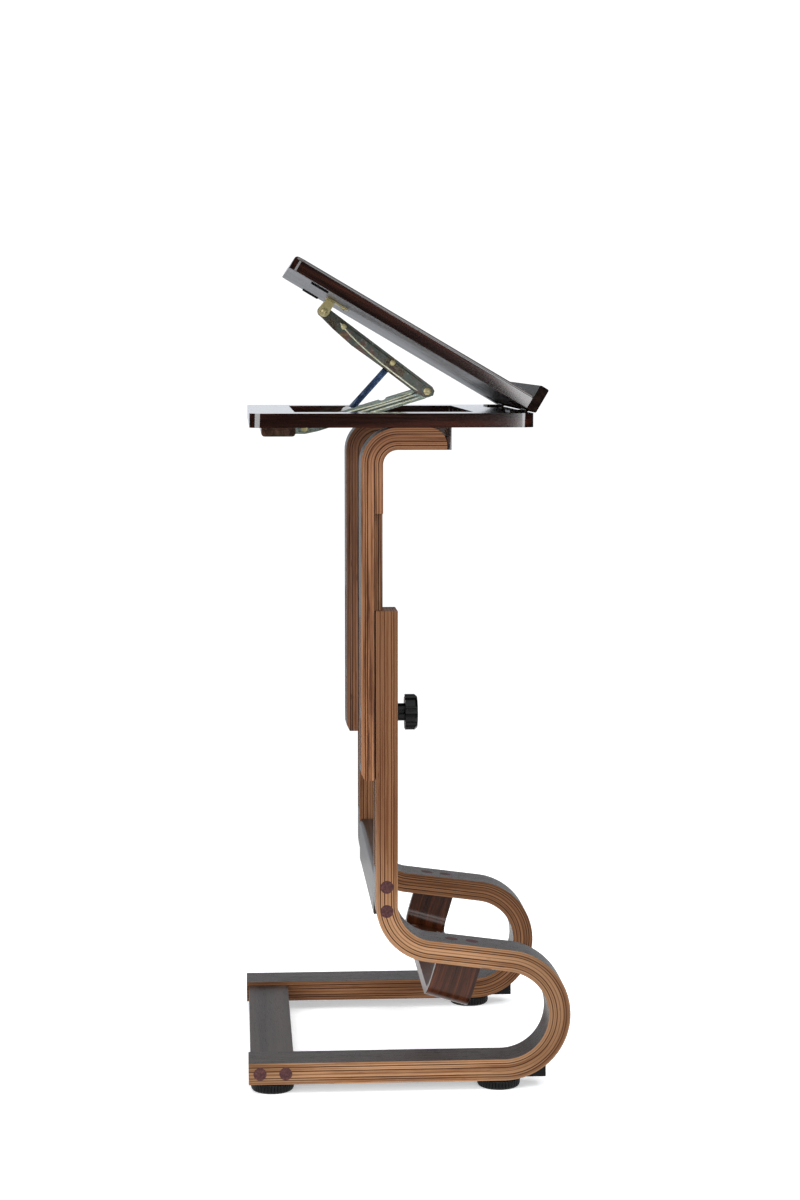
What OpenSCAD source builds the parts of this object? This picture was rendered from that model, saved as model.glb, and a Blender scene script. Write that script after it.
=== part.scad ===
// Height-adjustable bentwood stand with a tilting top.
// +X points to the reader's side, where the ledge is, Y runs across, +Z is up.
// The origin is on the floor under the centre of the base.

/* [Base] */
// Length of the base, from the back of the bars to the noses of the legs
base_len = 370; // [350:1:390]
// Distance between the centre planes of the two legs
leg_gauge = 376; // [340:1:400]
// Width of a laminated leg or mast, across the stand
leg_w = 50; // [48:1:54]
// Thickness of the laminated wood
ply_t = 25; // [24:0.5:26]
// Height of the bar's underside over the floor
bar_z = 12; // [12:0.5:14]
// Centreline radius of the nose of a leg
nose_r = 64; // [62:0.5:66]
// Slope of the arm between the nose and the post, in degrees
arm_slope = 7.6; // [7:0.1:8]
// Height of the top of a post
post_top = 556; // [540:1:570]

/* [Mast] */
// Height of the tray's underside over the floor
tray_z = 762.5; // [750:0.5:775]
// Height of the lower end of a mast
mast_foot_z = 363; // [360:1:366]
// Width of the tongue that slides in the post's groove
tongue_w = 26; // [22:1:30]

/* [Top] */
// Depth of the tray, from back to front
tray_d = 320; // [310:1:330]
// Thickness of the tray and of the tilting panel
board_t = 16; // [15:0.5:18]
// Height of the ledge over the panel's underside
ledge_h = 30; // [28:1:36]
// Angle of the panel as the stand is shown, in degrees
tilt = 30; // [25:1:32]

/* [Details] */
// Diameter of a levelling foot
foot_d = 50; // [44:1:50]
// Diameter of a clamping knob
knob_d = 41; // [36:1:44]
// Diameter of a wooden screw plug
plug_d = 15; // [12:1:15]

/* [Hidden] */
$fn = 64;

slack = 0.05;                       // radial clearance of a running fit
leg_y = leg_gauge / 2;              // centre plane of a leg
side_y = leg_y + leg_w / 2;         // outer side face of a leg
base_x0 = -base_len / 2;
nose_x = base_len / 2 - nose_r - ply_t / 2;
nose_z = bar_z + ply_t / 2 + nose_r;
post_x = -26.5;                     // centreline of a post
bend_r = 56;                        // centreline radius from arm to post
arm_x = nose_x + nose_r * sin(arm_slope);
arm_z = nose_z + nose_r * cos(arm_slope);
bend_x = post_x + bend_r;
bend_z = arm_z + (arm_x - bend_x) * tan(arm_slope) + bend_r / cos(arm_slope);

groove_d = 9;                       // depth of the post's groove
groove_z0 = 259;                    // where the groove ends
post_back = post_x - ply_t / 2;
post_front = post_x + ply_t / 2;
tongue_t = 9.5;
mast_front = post_back + groove_d - 0.5;
mast_back = mast_front - ply_t;
shoulder_x = mast_front - tongue_t;
shoulder_z = 666;                   // where the tongue's side rabbets end
mast_bend_r = 29;
mast_arm_end = 41.5;
batten_t = 5;
travel_up = 50;
travel_down = 100;
bolt_z = 438;
bolt_r = 4;
slot_r = 4.4;
channel_w = 20;
channel_d = 6;

foot_x = [base_x0 + 27.5, base_x0 + 289.5];
stretcher_w = 50;
stretcher_t = 18;
rail_h = 51;
rail_z0 = 198;
rail_t = 22;
plug_depth = 6;
screw_r = 2.5;
head_r = 5;
screw_reach = 30;                   // length of a leg screw in the cross member
bar_screw_x = [base_x0 + 13, base_x0 + 42.5];
post_screw_z = [rail_z0 + 14, rail_z0 + 42];
arm_screw_s = [46, 70];             // along the arm, from its nose end

strap_w = 51;
strap_t = 9;
strap_r = 20;                       // centreline radius of the strap's bends
strap_tilt = 16.5;
strap_x = 43.7;
strap_z = 97.7;

tray_x0 = -180;
tray_x1 = tray_x0 + tray_d;
tray_top = tray_z + board_t;
corner_r = 14;
open_x = [-128, 76.5];
open_y = 153;
rear_batten_t = 12;
rear_batten_x = [-166, -127];
rear_batten_y = 150;                // half its length
latch_x = -147;                     // small stud under the batten

pivot = [138, 0, tray_top + 2.1];   // axis of the panel's hinges
closed_z = pivot[2] + 2;            // underside of the panel's back rim when it is closed
panel_lean = 0.45;                  // the closed panel slopes down towards its hinges by this angle
panel_x1 = 141.7;
panel_x0 = panel_x1 - tray_d;
ledge_t = 11.3;
leaf_t = 1.4;
leaf_l = 20;
hinge_y = 130;
hinge_w = 50;
knuckle_r = 1.95;
hinge_pin_r = 1;

up_pivot = [-89.5, 0, 894.7];       // where the upper arm hangs from the panel
low_pivot = [-113, 0, 755.4];       // where the lower arm hangs from the tray
up_angle = 37.606;                  // the upper arm falls towards +X by this angle
low_angle = 16.722;                 // the lower arm rises towards +X by this angle
up_len = 155.9;
low_len = 153.5;
strut_at = [102.5, 1.5];            // strut pivot, along and above the upper arm
strut_angle = 132.247;
strut_len = 80.03;
plate_t = 1.6;
up_half = 12;                       // half the outer width of the upper arm
low_half = 9;                       // half the outer width of the lower arm
pin_r = 2.5;
elbow_r = 3;
elbow_hole_r = 6;
spacer_at = [30, -0.1];             // plain rivet of the upper arm
pin_notch_at = [100.4, 10.3];       // notch in the lower arm that clears the strut pin when shut
hanger_at = [-116.07, closed_z - 16.94];    // upper pivot when the panel is closed
hanger_t = 1.8;

// ---------- shared shapes ----------

// A flat ring sector between two angles, made exact with a polygon wedge
module arc_band(r, t, a0, a1) {
    far = 2 * (r + t);
    intersection() {
        difference() {
            circle(r + t / 2, $fn = 180);
            circle(r - t / 2, $fn = 180);
        }
        polygon([[0, 0], for (k = [0:4]) far * [cos(a0 + (a1 - a0) * k / 4), sin(a0 + (a1 - a0) * k / 4)]]);
    }
}

// Points along an arc, about 3 degrees apart
function arc(centre, r, a0, a1) = let (n = ceil(abs(a1 - a0) / 3))
    [for (k = [0:n]) centre + r * [cos(a0 + (a1 - a0) * k / n), sin(a0 + (a1 - a0) * k / n)]];

// Stands a drawing in X and Z upright, centred on the plane y
module upright(w, y = 0) {
    translate([0, y + w / 2, 0]) rotate([90, 0, 0]) linear_extrude(w) children();
}

module rounded_plate(x0, x1, half_y, z0, t, r) {
    translate([0, 0, z0]) linear_extrude(t) union() {
        translate([x0 + r, -half_y]) square([x1 - x0 - 2 * r, 2 * half_y]);
        translate([x0, -half_y + r]) square([x1 - x0, 2 * half_y - 2 * r]);
        for (x = [x0 + r, x1 - r], y = [-half_y + r, half_y - r]) translate([x, y]) circle(r);
    }
}

// A cylinder along Y, centred on y
module cross_pin(r, w, y = 0) {
    translate([0, y + w / 2, 0]) rotate([90, 0, 0]) cylinder(r = r, h = w);
}

module along_x(r, x0, x1) {
    translate([x0, 0, 0]) rotate([0, 90, 0]) cylinder(r = r, h = x1 - x0);
}

// Turns what is drawn in the panel's closed position to the angle shown
module opened() {
    translate(pivot) rotate([0, tilt, 0]) translate(-pivot) children();
}

// Leans the closed panel about its back edge
module leaned() {
    edge = [panel_x0, 0, closed_z];
    translate(edge) rotate([0, panel_lean, 0]) translate(-edge) children();
}

// ---------- places of the leg screws, with local +Z out of the wood ----------

module side_sites(s) {
    for (x = bar_screw_x) translate([x, s * side_y, bar_z + ply_t / 2]) rotate([-90 * s, 0, 0]) children();
    for (z = post_screw_z) translate([post_x, s * side_y, z]) rotate([-90 * s, 0, 0]) children();
}

module arm_sites(s) {
    for (d = arm_screw_s)
        translate([arm_x, s * leg_y, arm_z]) rotate([0, arm_slope, 0])
            translate([-d, 0, ply_t / 2]) children();
}

module screw_cut(through) {
    translate([0, 0, -plug_depth]) cylinder(r = plug_d / 2, h = plug_depth + 1);
    translate([0, 0, -plug_depth - 4]) cylinder(r = head_r + 0.3, h = 5);
    translate([0, 0, -through - 1]) cylinder(r = screw_r + 0.3, h = through);
}

module screw(depth) {
    translate([0, 0, -plug_depth - 3.5]) cylinder(r = head_r, h = 3);
    translate([0, 0, -depth - screw_reach]) cylinder(r = screw_r, h = depth + screw_reach - plug_depth - 2);
}

module pilot(depth) {
    translate([0, 0, -depth - screw_reach - 1]) cylinder(r = screw_r, h = screw_reach + 2);
}

// ---------- base ----------

// Both faces of the lamination in one closed line: out along one face, back along the other
module leg_outline() {
    t = ply_t / 2;
    nose = [nose_x, nose_z];
    bend = [bend_x, bend_z];
    polygon([
        [base_x0, bar_z], each arc(nose, nose_r + t, -90, 90 - arm_slope),
        each arc(bend, bend_r - t, 270 - arm_slope, 180), [post_front, post_top],
        [post_back, post_top], each arc(bend, bend_r + t, 180, 270 - arm_slope),
        each arc(nose, nose_r - t, 90 - arm_slope, -90), [base_x0, bar_z + ply_t]
    ]);
}

module leg(s) {
    color([0.55, 0.37, 0.25]) difference() {
        upright(leg_w, s * leg_y) leg_outline();
        translate([post_back - 1, s * leg_y - tongue_w / 2 - 0.3, groove_z0])
            cube([groove_d + 1, tongue_w + 0.6, post_top]);
        translate([0, s * leg_y, bolt_z]) along_x(bolt_r + 0.25, post_back, post_front + 1);
        side_sites(s) screw_cut(leg_w);
        arm_sites(s) screw_cut(ply_t);
        for (x = foot_x) translate([x, s * leg_y, bar_z - 1]) cylinder(r = 6, h = 15);
        for (x = foot_x) translate([x, s * leg_y, bar_z + 13]) cylinder(r = bolt_r + 0.4, h = 8);
    }
}

module near_leg() { leg(-1); }
module far_leg() { leg(1); }

module rear_stretcher() {
    w = leg_gauge - leg_w;
    color([0.33, 0.27, 0.23]) difference() {
        translate([base_x0 + 2.5, -w / 2, bar_z + 2.5]) cube([stretcher_w, w, stretcher_t]);
        for (s = [-1, 1], x = bar_screw_x)
            translate([x, s * side_y, bar_z + ply_t / 2]) rotate([-90 * s, 0, 0]) pilot(leg_w);
    }
}

module post_rail() {
    w = leg_gauge - leg_w;
    r = 5;
    color([0.40, 0.30, 0.24]) difference() {
        upright(w) {
            translate([post_back, rail_z0]) square([rail_t, rail_h - r]);
            translate([post_back + r, rail_z0]) square([rail_t - 2 * r, rail_h]);
            for (x = [post_back + r, post_back + rail_t - r]) translate([x, rail_z0 + rail_h - r]) circle(r);
        }
        for (s = [-1, 1], z = post_screw_z)
            translate([post_x, s * side_y, z]) rotate([-90 * s, 0, 0]) pilot(leg_w);
    }
}

module strap_outline() {
    inner = leg_y - strap_r;
    translate([-inner, 0]) square([2 * inner, strap_t]);
    for (s = [-1, 1]) {
        translate([s * inner, strap_r + strap_t / 2])
            if (s > 0) arc_band(strap_r, strap_t, 270, 360);
            else arc_band(strap_r, strap_t, 180, 270);
        translate([s * leg_y - strap_t / 2, strap_r + strap_t / 2]) square([strap_t, 50]);
    }
}

module lower_brace() {
    color([0.30, 0.19, 0.13]) difference() {
        translate([strap_x, 0, strap_z]) rotate([0, strap_tilt, 0]) rotate([90, 0, 90])
            translate([0, 0, -strap_w / 2]) linear_extrude(strap_w) strap_outline();
        translate([arm_x, 0, arm_z]) rotate([0, arm_slope, 0])
            translate([-250, -300, -ply_t / 2]) cube([400, 600, 100]);
        for (s = [-1, 1]) arm_sites(s) pilot(ply_t);
        for (s = [-1, 1], d = [-1, 1]) brace_site(s, d) {
            translate([0, 0, -3]) cylinder(r = 3.6, h = 4);
            translate([0, 0, -8]) cylinder(r = 2, h = 8);
        }
    }
}

// Small screws in the strap's upper face, near its bends
module brace_site(s, d) {
    translate([strap_x, 0, strap_z]) rotate([0, strap_tilt, 0])
        translate([d * (strap_w / 2 - 9), s * (leg_y - 34), strap_t]) children();
}

module brace_screws() {
    color([0.75, 0.75, 0.76]) for (s = [-1, 1], d = [-1, 1]) brace_site(s, d) {
        translate([0, 0, -2.8]) cylinder(r = 3.5, h = 2.4);
        translate([0, 0, -8]) cylinder(r = 2, h = 6);
    }
}

module leg_screws() {
    color([0.72, 0.70, 0.62]) for (s = [-1, 1]) {
        side_sites(s) screw(leg_w);
        arm_sites(s) screw(ply_t);
    }
}

module screw_plugs() {
    color([0.36, 0.24, 0.23]) for (s = [-1, 1]) {
        side_sites(s) translate([0, 0, -plug_depth + 0.2]) cylinder(r = plug_d / 2, h = plug_depth - 0.2);
        arm_sites(s) translate([0, 0, -plug_depth + 0.2]) cylinder(r = plug_d / 2, h = plug_depth - 0.2);
    }
}

module nose_block(s) {
    outer = nose_r + ply_t / 2;
    color([0.09, 0.09, 0.09]) upright(22, s * leg_y) difference() {
        translate([nose_x + 18, bar_z]) square([32, 24]);
        translate([nose_x, nose_z]) circle(outer, $fn = 180);
    }
}

module near_nose_block() { nose_block(-1); }
module far_nose_block() { nose_block(1); }

// Threaded inserts that hold the studs of the feet
module foot_inserts() {
    color([0.78, 0.68, 0.42]) for (x = foot_x, s = [-1, 1]) translate([x, s * leg_y, bar_z]) difference() {
        cylinder(r = 6, h = 13);
        translate([0, 0, -1]) cylinder(r = bolt_r + slack, h = 15);
    }
}

// ---------- levelling feet ----------

module foot(x, s) {
    r = foot_d / 2;
    h = bar_z - 0.4;
    color([0.07, 0.07, 0.07]) translate([x, s * leg_y, 0]) rotate_extrude($fn = 96) difference() {
        polygon([[0, 0], [r - 2.5, 0], [r, 2.5], [r, h - 1], [r - 1, h], [0, h]]);
        translate([-1, 4]) square([1 + bolt_r, h]);
    }
}

module stud(x, s) {
    color([0.62, 0.62, 0.64]) translate([x, s * leg_y, 4]) cylinder(r = bolt_r, h = 26);
}

module near_rear_foot() { foot(foot_x[0], -1); }
module near_front_foot() { foot(foot_x[1], -1); }
module far_rear_foot() { foot(foot_x[0], 1); }
module far_front_foot() { foot(foot_x[1], 1); }
module near_rear_stud() { stud(foot_x[0], -1); }
module near_front_stud() { stud(foot_x[1], -1); }
module far_rear_stud() { stud(foot_x[0], 1); }
module far_front_stud() { stud(foot_x[1], 1); }

// ---------- clamps: a bolt through the mast's slot and the post, and a knob ----------

module clamp_bolt(s) {
    floor_x = mast_back + channel_d;
    color([0.60, 0.60, 0.62]) translate([0, s * leg_y, bolt_z]) {
        along_x(8.6, floor_x - 5.4, floor_x - 1.6);
        along_x(bolt_r, floor_x - 2, post_front + 17);
    }
}

module near_clamp_bolt() { clamp_bolt(-1); }
module far_clamp_bolt() { clamp_bolt(1); }

module guide_washers() {
    floor_x = mast_back + channel_d;
    color([0.70, 0.70, 0.72]) for (s = [-1, 1]) translate([0, s * leg_y, bolt_z]) difference() {
        along_x(9.3, floor_x - 1.6, floor_x - 0.2);
        along_x(bolt_r, floor_x - 3, floor_x + 1);
    }
}

module knob_washers() {
    color([0.70, 0.70, 0.72]) for (s = [-1, 1]) translate([0, s * leg_y, bolt_z]) difference() {
        along_x(9.6, post_front, post_front + 1.2);
        along_x(bolt_r + 0.2, post_front - 1, post_front + 2);
    }
}

// Star knob: a round hub and a scalloped head
module knob(s) {
    x0 = post_front + 1.4;
    head_x = post_front + 9.3;
    head_t = 14;
    lobes = 7;
    color([0.05, 0.05, 0.06]) translate([0, s * leg_y, bolt_z]) difference() {
        union() {
            along_x(10, x0, head_x + 1);
            translate([head_x, 0, 0]) rotate([0, 90, 0]) rotate_extrude($fn = 96)
                polygon([
                    [0, 0], [knob_d / 2, 0], [knob_d / 2, head_t - 3], [knob_d / 2 - 2.5, head_t], [0, head_t]]);
        }
        for (k = [0:lobes - 1]) rotate([360 * (k + 0.5) / lobes, 0, 0])
            translate([0, 0, knob_d / 2 + 3.5]) along_x(6.5, head_x - 0.01, head_x + head_t + 1);
        along_x(6, x0 - 1, post_front + 18);
    }
}

module near_knob() { knob(-1); }
module far_knob() { knob(1); }

module knob_insert(s) {
    x0 = post_front + 1.4;
    color([0.80, 0.66, 0.34]) translate([0, s * leg_y, bolt_z]) difference() {
        along_x(6, x0, post_front + 17.5);
        along_x(bolt_r + slack, x0 - 1, post_front + 19);
    }
}

module near_knob_insert() { knob_insert(-1); }
module far_knob_insert() { knob_insert(1); }

// ---------- masts and tray ----------

module mast_outline() {
    end_r = 20;
    chamfer = 8;
    cx = mast_back + mast_bend_r + ply_t / 2;
    cz = tray_z - mast_bend_r - ply_t / 2;
    polygon([[mast_back, cz], [mast_back, mast_foot_z + chamfer], [mast_back + chamfer / 2, mast_foot_z],
        [mast_front, mast_foot_z], [mast_front, cz]]);
    translate([cx, cz]) arc_band(mast_bend_r, ply_t, 90, 180);
    translate([cx, tray_z - ply_t]) square([mast_arm_end - end_r - cx, ply_t]);
    translate([mast_arm_end - end_r, tray_z - ply_t]) intersection() {
        square([end_r, ply_t]);
        union() {
            square([end_r, ply_t - end_r]);
            translate([0, ply_t - end_r]) circle(end_r, $fn = 120);
        }
    }
}

module slot_cut(w, x0, x1) {
    z0 = bolt_z - travel_up - 1;
    z1 = bolt_z + travel_down + 1;
    translate([x0, -w / 2, z0]) cube([x1 - x0, w, z1 - z0]);
    for (z = [z0, z1]) translate([0, 0, z]) along_x(w / 2, x0, x1);
}

module mast(s) {
    color([0.52, 0.35, 0.24]) difference() {
        upright(leg_w, s * leg_y) mast_outline();
        for (d = [-1, 1]) translate([shoulder_x, s * leg_y + d * leg_w / 2, mast_foot_z - 1])
            translate([0, d > 0 ? tongue_w / 2 - leg_w / 2 : -1, 0])
                cube([tongue_t + 1, leg_w / 2 - tongue_w / 2 + 1, shoulder_z - mast_foot_z + 1]);
        translate([0, s * leg_y, 0]) {
            slot_cut(2 * slot_r, mast_back - 1, mast_front + 1);
            slot_cut(channel_w, mast_back - 1, mast_back + channel_d);
        }
        tray_screw_sites(s) {
            translate([0, 0, -1]) cylinder(r = 4.3, h = 11);
            cylinder(r = 2.3, h = ply_t + 1);
        }
        batten_screw_site(s) along_x(1.5, -12, 1);
    }
}

module near_mast() { mast(-1); }
module far_mast() { mast(1); }

module tray_screw_sites(s) {
    for (x = [-4, 22]) translate([x, s * leg_y, tray_z - ply_t]) children();
}

module batten_screw_site(s) {
    translate([mast_arm_end, s * leg_y, tray_z - ply_t + 10]) children();
}

// Thin strip that closes the ends of both mast arms
module front_batten() {
    color([0.13, 0.07, 0.05]) difference() {
        translate([mast_arm_end, -side_y, tray_z - ply_t]) cube([batten_t, 2 * side_y, ply_t]);
        for (s = [-1, 1]) batten_screw_site(s) {
            along_x(1.5, -1, batten_t + 1);
            along_x(3.2, batten_t - 2, batten_t + 1);
        }
    }
}

module batten_screws() {
    color([0.75, 0.75, 0.76]) for (s = [-1, 1]) batten_screw_site(s) {
        along_x(1.5, -11, batten_t - 1.5);
        along_x(3, batten_t - 2, batten_t - 0.2);
    }
}

module tray() {
    color([0.16, 0.08, 0.06]) difference() {
        rounded_plate(tray_x0, tray_x1, side_y, tray_z, board_t, corner_r);
        rounded_plate(open_x[0], open_x[1], open_y, tray_z - 1, board_t + 2, 3);
        for (s = [-1, 1]) tray_screw_sites(s) cylinder(r = 1.8, h = ply_t + 12);
        rear_batten_sites() cylinder(r = 1.8, h = 24);
    }
}

module tray_screws() {
    color([0.75, 0.75, 0.76]) for (s = [-1, 1]) tray_screw_sites(s) {
        translate([0, 0, 6.5]) cylinder(r = 4, h = 3);
        translate([0, 0, 8]) cylinder(r = 1.8, h = ply_t + 3);
    }
}

module rear_batten_sites() {
    for (y = [-120, -40, 40, 120])
        translate([(rear_batten_x[0] + rear_batten_x[1]) / 2, y, tray_z - rear_batten_t]) children();
}

// Stiffening batten under the back rim, with rounded lower edges
module rear_batten() {
    r = 4;
    z0 = tray_z - rear_batten_t;
    w = rear_batten_x[1] - rear_batten_x[0];
    color([0.28, 0.19, 0.14]) difference() {
        upright(2 * rear_batten_y) {
            translate([rear_batten_x[0], z0 + r]) square([w, rear_batten_t - r]);
            translate([rear_batten_x[0] + r, z0]) square([w - 2 * r, r + 1]);
            for (x = [rear_batten_x[0] + r, rear_batten_x[1] - r]) translate([x, z0 + r]) circle(r);
        }
        rear_batten_sites() {
            translate([0, 0, -1]) cylinder(r = 1.8, h = 20);
            translate([0, 0, -1]) cylinder(r = 4.3, h = 4);
        }
        translate([latch_x, 0, z0 - 1]) cylinder(r = 2, h = 10);
        lower_bracket_sites() along_x(1.5, -9, 1);
    }
}

module rear_batten_screws() {
    color([0.75, 0.75, 0.76]) rear_batten_sites() {
        translate([0, 0, 0.3]) cylinder(r = 4, h = 2.5);
        translate([0, 0, 2]) cylinder(r = 1.8, h = 21);
    }
}

// Small stud with two rubber rings under the batten
module panel_latch_stud() {
    color([0.14, 0.14, 0.14]) translate([latch_x, 0, tray_z - rear_batten_t]) {
        translate([0, 0, -3]) cylinder(r = 5, h = 3);
        translate([0, 0, -0.5]) cylinder(r = 2, h = 9);
    }
}

// ---------- hinges between the tray and the panel ----------

module knuckles(y, spans, r) {
    translate(pivot) for (k = spans) difference() {
        cross_pin(r, k[1] - k[0], y + (k[0] + k[1]) / 2);
        cross_pin(hinge_pin_r + slack, hinge_w + 2, y);
    }
}

module tray_leaf(y) {
    third = hinge_w / 3;
    color([0.55, 0.42, 0.22]) {
        difference() {
            translate([pivot[0] - leaf_l, y - hinge_w / 2, tray_top]) cube([leaf_l, hinge_w, leaf_t]);
            translate([pivot[0] - knuckle_r - 0.2, y - third / 2 - 0.2, tray_top - 1])
                cube([leaf_l, third + 0.4, leaf_t + 2]);
            translate(pivot) cross_pin(hinge_pin_r + slack, hinge_w + 2, y);
        }
        knuckles(y, [[-hinge_w / 2, -third / 2 - 0.2], [third / 2 + 0.2, hinge_w / 2]], knuckle_r);
    }
}

module near_tray_leaf() { tray_leaf(-hinge_y); }
module far_tray_leaf() { tray_leaf(hinge_y); }

module panel_leaf(y) {
    third = hinge_w / 3;
    leaf_z = closed_z - leaf_t;
    color([0.55, 0.42, 0.22]) opened() {
        difference() {
            translate([pivot[0] - leaf_l, y - hinge_w / 2, leaf_z]) cube([leaf_l, hinge_w, leaf_t]);
            for (d = [-1, 1])
                translate([pivot[0] - knuckle_r - 0.2, y + d * third - third / 2 - 0.1, leaf_z - 1])
                    cube([leaf_l, third + 0.2, leaf_t + 2]);
            translate(pivot) cross_pin(hinge_pin_r + slack, hinge_w + 2, y);
        }
        knuckles(y, [[-third / 2, third / 2]], knuckle_r);
    }
}

module near_panel_leaf() { panel_leaf(-hinge_y); }
module far_panel_leaf() { panel_leaf(hinge_y); }

module hinge_pin(y) {
    color([0.70, 0.62, 0.45]) translate(pivot) cross_pin(hinge_pin_r, hinge_w, y);
}

module near_hinge_pin() { hinge_pin(-hinge_y); }
module far_hinge_pin() { hinge_pin(hinge_y); }

// ---------- lift mechanism ----------

module at_upper_arm() {
    translate(up_pivot) rotate([0, up_angle, 0]) children();
}

module at_lower_arm() {
    translate(low_pivot) rotate([0, -low_angle, 0]) children();
}

module at_strut() {
    at_upper_arm() translate([strut_at[0], 0, strut_at[1]]) rotate([0, strut_angle - up_angle, 0]) children();
}

module lower_bracket_sites() {
    for (y = [-13, 13]) translate([rear_batten_x[1], y, tray_z - 7]) children();
}

// Bracket on the batten, with two ears inside the lower arm's channel
module lower_bracket() {
    x0 = rear_batten_x[1];
    z = low_pivot[2];
    color([0.74, 0.70, 0.52]) difference() {
        union() {
            translate([x0, -18, z - 6.8]) cube([plate_t, 36, 12.5]);
            for (s = [-1, 1]) upright(plate_t, s * 6.2) {
                translate([x0, z - 6.8]) square([low_pivot[0] - x0, 12.5]);
                translate([low_pivot[0], z]) circle(6.8);
            }
        }
        translate(low_pivot) cross_pin(pin_r, 40);
        lower_bracket_sites() along_x(1.8, -1, plate_t + 1);
    }
}

module lower_pivot_pin() {
    color([0.80, 0.76, 0.58]) translate(low_pivot) {
        cross_pin(pin_r, 20);
        for (s = [-1, 1]) cross_pin(4, 0.8, s * 9.5);
    }
}

module lower_bracket_screws() {
    color([0.78, 0.74, 0.55]) lower_bracket_sites() {
        along_x(1.5, -8, plate_t + 0.2);
        along_x(2.8, plate_t, plate_t + 1.1);
    }
}

module panel_bracket_screws() {
    color([0.78, 0.74, 0.55]) opened() leaned() panel_bracket_sites() {
        translate([0, 0, -hanger_t - 1.1]) cylinder(r = 2.8, h = 1.1);
        translate([0, 0, -2]) cylinder(r = 1.5, h = 10.5);
    }
}

// Channel with its web underneath and an embossed rib on each wall
module lower_arm() {
    web = [[14, -8], [low_len - 6, -8], [low_len - 6, -8 + plate_t], [14, -8 + plate_t]];
    side = [[0, 6.5], [low_len, 6.8], [low_len, -7], [low_len - 6, -8], [14, -8], [0, -6.8]];
    color([0.62, 0.64, 0.50]) at_lower_arm() difference() {
        union() {
            upright(2 * low_half) polygon(web);
            for (s = [-1, 1]) upright(1.4, s * (low_half - 0.7)) {
                polygon(side);
                circle(6.8);
                translate([low_len, 0]) circle(7);
            }
        }
        cross_pin(pin_r + slack, 40);
        translate([low_len, 0, 0]) cross_pin(elbow_r, 40);
        translate([pin_notch_at[0], 0, pin_notch_at[1]]) cross_pin(6, 40);
    }
}

module elbow_pin() {
    color([0.80, 0.76, 0.58]) at_lower_arm() translate([low_len, 0, 0]) {
        cross_pin(elbow_r, 2 * up_half + 1);
        for (s = [-1, 1]) cross_pin(7.5, 1.4, s * (up_half + 1.1));
    }
}

// Channel with its web on top, deeper in the middle than at its pivots
module upper_arm() {
    top0 = 6;
    top1 = 7.9;
    inset = 0.1;
    end_x = up_len + 2;
    function top_at(x) = top0 + (top1 - top0) * x / end_x;
    side = [[0, top0], [end_x, top1], [end_x + 5, 5.5], [end_x + 7, 0], [end_x + 2, -6], [150, -9.5],
        [95, -10], [52, -11.5], [22, -9.5], [0, -6.5]];
    web_x = [14, up_len - 15];
    web = [for (x = web_x) [x, top_at(x) - inset], for (k = [1, 0]) [web_x[k], top_at(web_x[k]) - inset - plate_t]];
    color([0.52, 0.54, 0.46]) at_upper_arm() difference() {
        union() {
            upright(2 * up_half) polygon(web);
            for (s = [-1, 1]) upright(plate_t, s * (up_half - plate_t / 2)) {
                polygon(side);
                circle(6.8);
            }
        }
        cross_pin(pin_r + slack, 40);
        translate([up_len, 0, 0]) cross_pin(elbow_hole_r, 40);
        translate([strut_at[0], 0, strut_at[1]]) cross_pin(2, 40);
        translate([spacer_at[0], 0, spacer_at[1]]) cross_pin(2, 40);
    }
}

// Rivets of the upper arm: the strut's pivot and a plain spacer
module strut_pin() {
    color([0.80, 0.76, 0.58]) at_upper_arm() for (p = [strut_at, spacer_at]) translate([p[0], 0, p[1]]) {
        cross_pin(2, 2 * up_half);
        for (s = [-1, 1]) cross_pin(3.4, 0.9, s * (up_half + 0.45));
    }
}

module strut() {
    color([0.30, 0.38, 0.52]) at_strut() difference() {
        upright(10) {
            translate([0, -3.7]) square([strut_len, 7.4]);
            circle(3.7);
            translate([strut_len, 0]) circle(3.7);
        }
        cross_pin(2 + slack, 20);
        translate([strut_len, 0, 0]) cross_pin(2, 20);
        translate([9, -3.6, -5]) cube([strut_len - 18, 7.2, 6]);
    }
}

// White rollers on the strut's foot, which run inside the lower arm
module strut_rollers() {
    color([0.93, 0.93, 0.92]) at_strut() translate([strut_len, 0, 0]) {
        cross_pin(2, 12);
        for (s = [-1, 1]) cross_pin(7.3, 1.8, s * 6);
    }
}

module panel_bracket_sites() {
    for (x = [-115, -97], y = [-20, 20]) translate([x, y, closed_z]) children();
}

// Bracket under the panel, with its ears outside the upper arm
module panel_bracket() {
    half = up_half + 1.6;
    x = hanger_at[0];
    z = hanger_at[1];
    color([0.78, 0.66, 0.36]) opened() difference() {
        union() {
            leaned() translate([x - 5, -26, closed_z - hanger_t]) cube([30, 52, hanger_t]);
            for (s = [-1, 1]) upright(2, s * half) {
                polygon([[x - 4, closed_z - 1.2], [x - 6.8, z], [x + 6.8, z], [x + 6.5, closed_z - 1.2]]);
                translate([x, z]) circle(6.8);
            }
        }
        translate([x, 0, z]) cross_pin(pin_r, 60);
        leaned() panel_bracket_sites() translate([0, 0, -4]) cylinder(r = 1.5, h = 6);
    }
}

module upper_pivot_pin() {
    color([0.80, 0.76, 0.58]) translate(up_pivot) {
        cross_pin(pin_r, 2 * up_half + 6);
        for (s = [-1, 1]) cross_pin(4, 1.2, s * (up_half + 3.2));
    }
}

// ---------- tilting panel ----------

// Pockets for the hinges, cut into the underside and out through the ledge's face
module hinge_pockets() {
    for (y = [-hinge_y, hinge_y])
        translate([pivot[0] - leaf_l - 0.2, y - hinge_w / 2 - 0.2, closed_z - 8])
            cube([leaf_l + 9, hinge_w + 0.4, 8]);
}

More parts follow.
